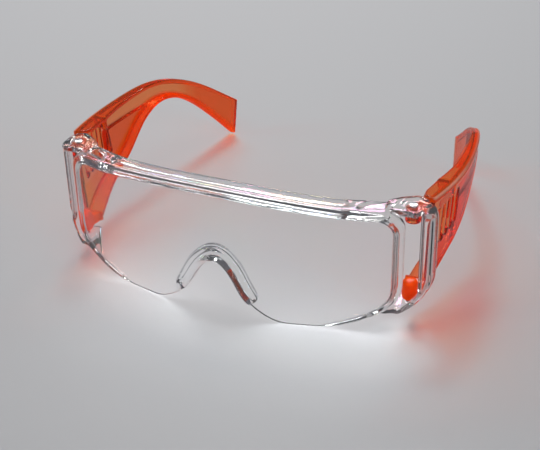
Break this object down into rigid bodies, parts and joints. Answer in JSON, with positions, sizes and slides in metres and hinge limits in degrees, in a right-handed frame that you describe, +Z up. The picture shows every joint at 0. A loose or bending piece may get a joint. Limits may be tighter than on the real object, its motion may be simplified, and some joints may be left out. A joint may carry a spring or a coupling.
{
  "type": "safety glasses",
  "caption": "Over-spectacle safety glasses: one-piece clear wrap front with brow shelf and nose arch, hinged to translucent orange side arms with vent slots.",
  "frame": {"origin": "middle of the overall length and width, on the plane the glasses stand on", "axes": "+X towards the wearer's left, -Y the way the wearer looks, +Z up"},
  "size_m": [0.169, 0.1526, 0.056],
  "materials": {
    "clear_polycarbonate": "polished clear polycarbonate",
    "orange_polycarbonate": "polished translucent orange polycarbonate",
    "pin_steel": "bright steel"
  },
  "bodies": {
    "front": {"front_lens": "clear_polycarbonate", "hinge_pin_upper_left": "pin_steel", "hinge_pin_upper_right": "pin_steel", "hinge_pin_lower_left": "pin_steel", "hinge_pin_lower_right": "pin_steel"},
    "left_arm": {"temple_left": "orange_polycarbonate"},
    "right_arm": {"temple_right": "orange_polycarbonate"}
  },
  "joints": [
    {"name": "left_hinge", "type": "hinge", "parent": "front", "child": "left_arm", "pos_m": [0.0745, -0.04967, 0.03], "axis": [0, 0, 1], "range_deg": [0, 88]},
    {"name": "right_hinge", "type": "hinge", "parent": "front", "child": "right_arm", "pos_m": [-0.0745, -0.04967, 0.03], "axis": [0, 0, -1], "range_deg": [0, 74]}
  ]
}
